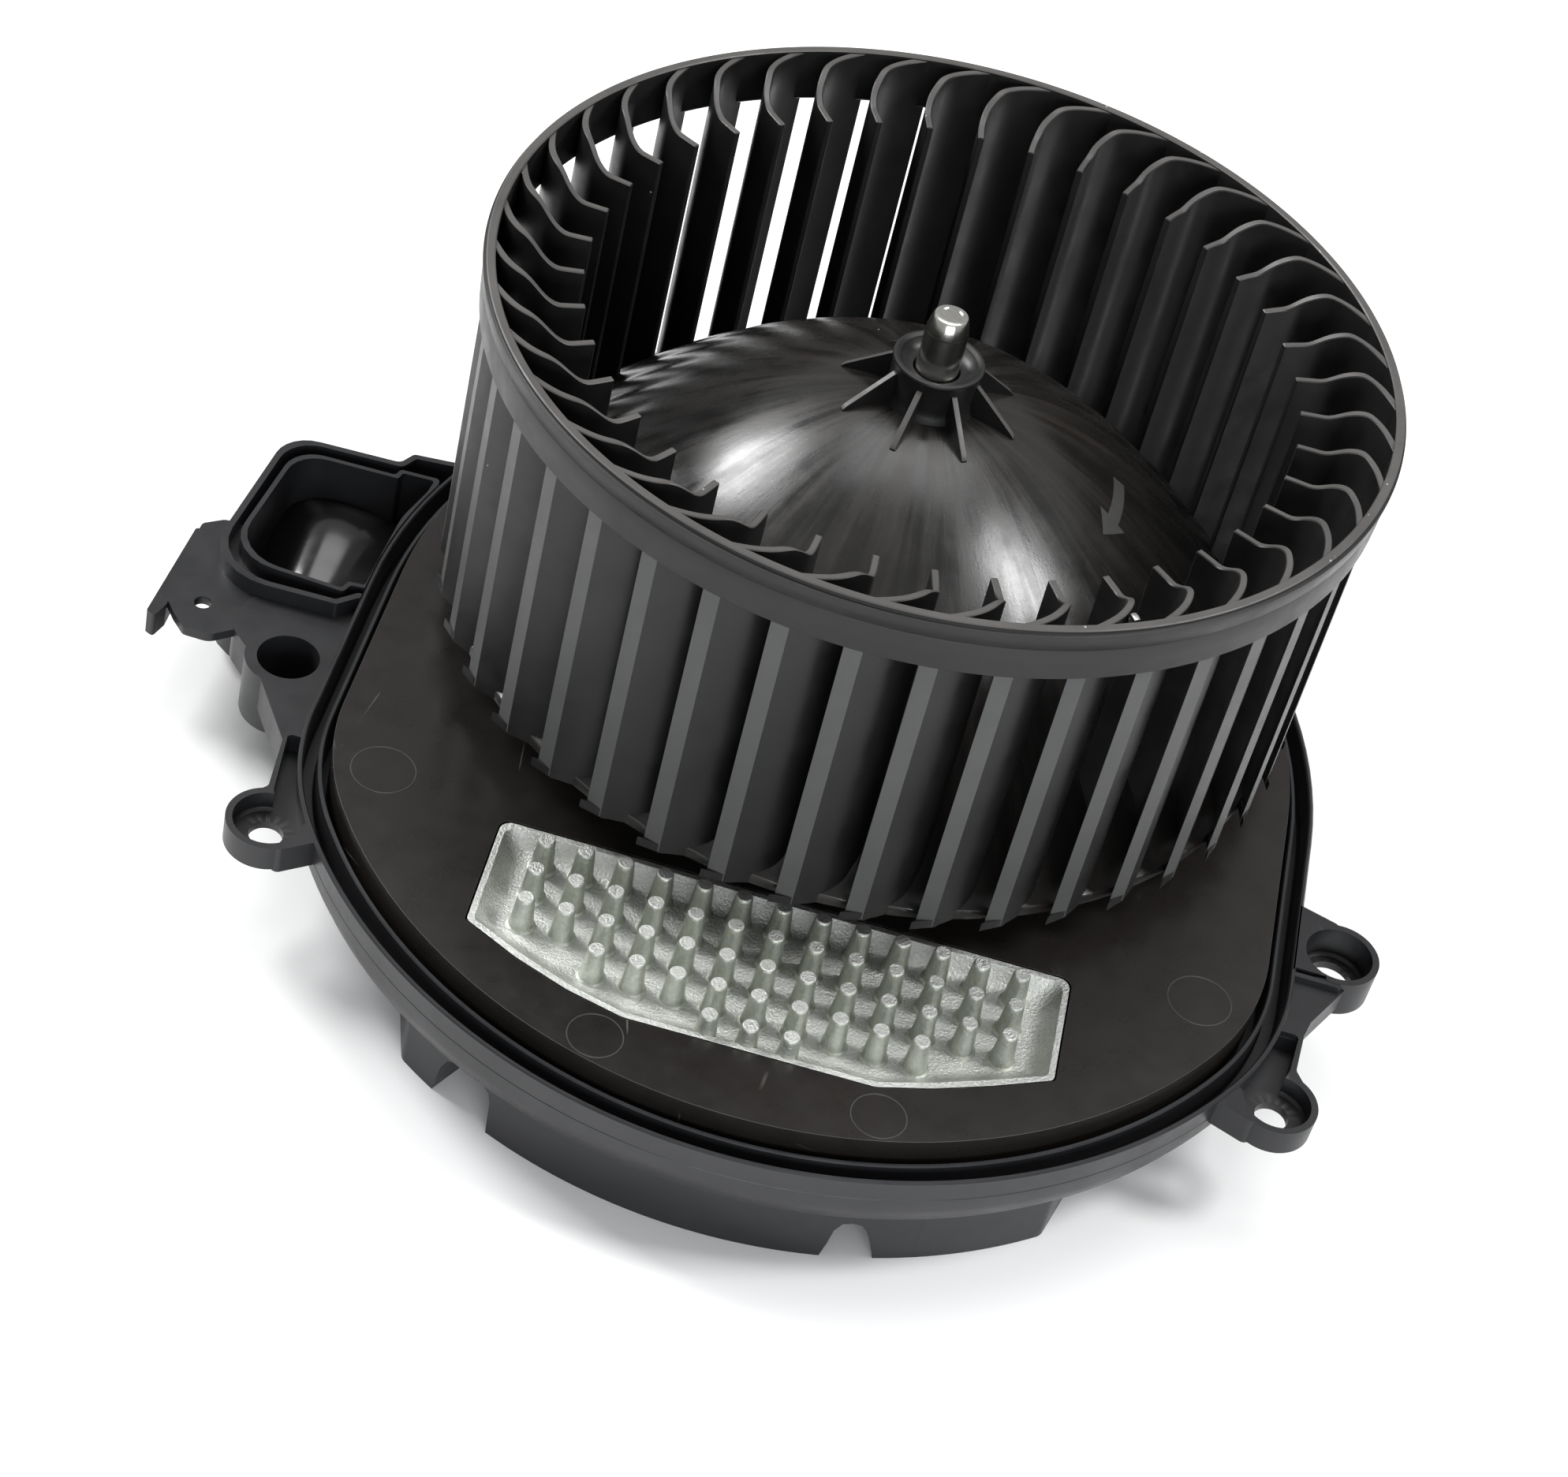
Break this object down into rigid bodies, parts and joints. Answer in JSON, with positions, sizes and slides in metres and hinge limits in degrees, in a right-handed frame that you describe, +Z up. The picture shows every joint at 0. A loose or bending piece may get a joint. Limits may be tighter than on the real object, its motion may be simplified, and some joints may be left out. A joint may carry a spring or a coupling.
{
  "type": "blower motor wheel",
  "caption": "Squirrel-cage blower wheel on an external-rotor motor, with a D-shaped flange, pin-fin heat sink, cooling duct and screw lugs.",
  "frame": {"origin": "the motor axis at the flat underside of the bottom cover, the face the blower rests on", "axes": "+Z up along the motor axis towards the open eye of the wheel, -Y towards the heat sink, -X towards the cooling duct"},
  "size_m": [0.2171, 0.1958, 0.1],
  "materials": {
    "wheel_plastic": "black glass-filled, satin",
    "dome_plastic": "black, semi-gloss",
    "plate_plastic": "black, satin",
    "tray_plastic": "dark grey, satin",
    "cast_alloy": "die-cast",
    "shaft_steel": "ground",
    "screw_steel": "zinc plated",
    "spring_steel": "stamped",
    "bell_steel": "drawn, zinc plated",
    "lamination": "stacked electrical steel",
    "ferrite": "sintered, dull",
    "copper_wire": "enamelled copper winding",
    "mount_rubber": "dull",
    "board_laminate": "green solder mask",
    "chip_plastic": "moulded epoxy",
    "capacitor_can": "sleeved can"
  },
  "bodies": {
    "housing": {"carrier_plate": "plate_plastic", "housing_tray": "tray_plastic", "cooling_duct": "tray_plastic", "heat_sink": "cast_alloy", "bottom_cover": "tray_plastic", "connector_socket": "plate_plastic", "motor_base": "cast_alloy", "stator_core": "lamination", "stator_coil_1": "copper_wire", "stator_coil_2": "copper_wire", "stator_coil_3": "copper_wire", "stator_coil_4": "copper_wire", "stator_coil_5": "copper_wire", "stator_coil_6": "copper_wire", "stator_coil_7": "copper_wire", "stator_coil_8": "copper_wire", "stator_coil_9": "copper_wire", "bearing_upper": "shaft_steel", "bearing_lower": "shaft_steel", "wave_washer": "spring_steel", "rubber_mount_1": "mount_rubber", "rubber_mount_2": "mount_rubber", "rubber_mount_3": "mount_rubber", "motor_screw_1": "screw_steel", "motor_screw_2": "screw_steel", "motor_screw_3": "screw_steel", "sink_screw_1": "screw_steel", "sink_screw_2": "screw_steel", "circuit_board": "board_laminate", "power_transistor_1": "chip_plastic", "power_transistor_2": "chip_plastic", "power_transistor_3": "chip_plastic", "capacitor_1": "capacitor_can", "capacitor_2": "capacitor_can", "choke": "copper_wire", "cover_screw_1": "screw_steel", "cover_screw_2": "screw_steel", "cover_screw_3": "screw_steel", "cover_screw_4": "screw_steel"},
    "rotor": {"impeller_cage": "wheel_plastic", "impeller_dome": "dome_plastic", "balance_clip": "spring_steel", "motor_shaft": "shaft_steel", "retaining_ring": "spring_steel", "rotor_bell": "bell_steel", "magnet_ring": "ferrite"}
  },
  "joints": [
    {"name": "impeller_spin", "type": "hinge", "parent": "housing", "child": "rotor", "pos_m": [0, 0, 0], "axis": [0, 0, 1], "continuous": true}
  ]
}
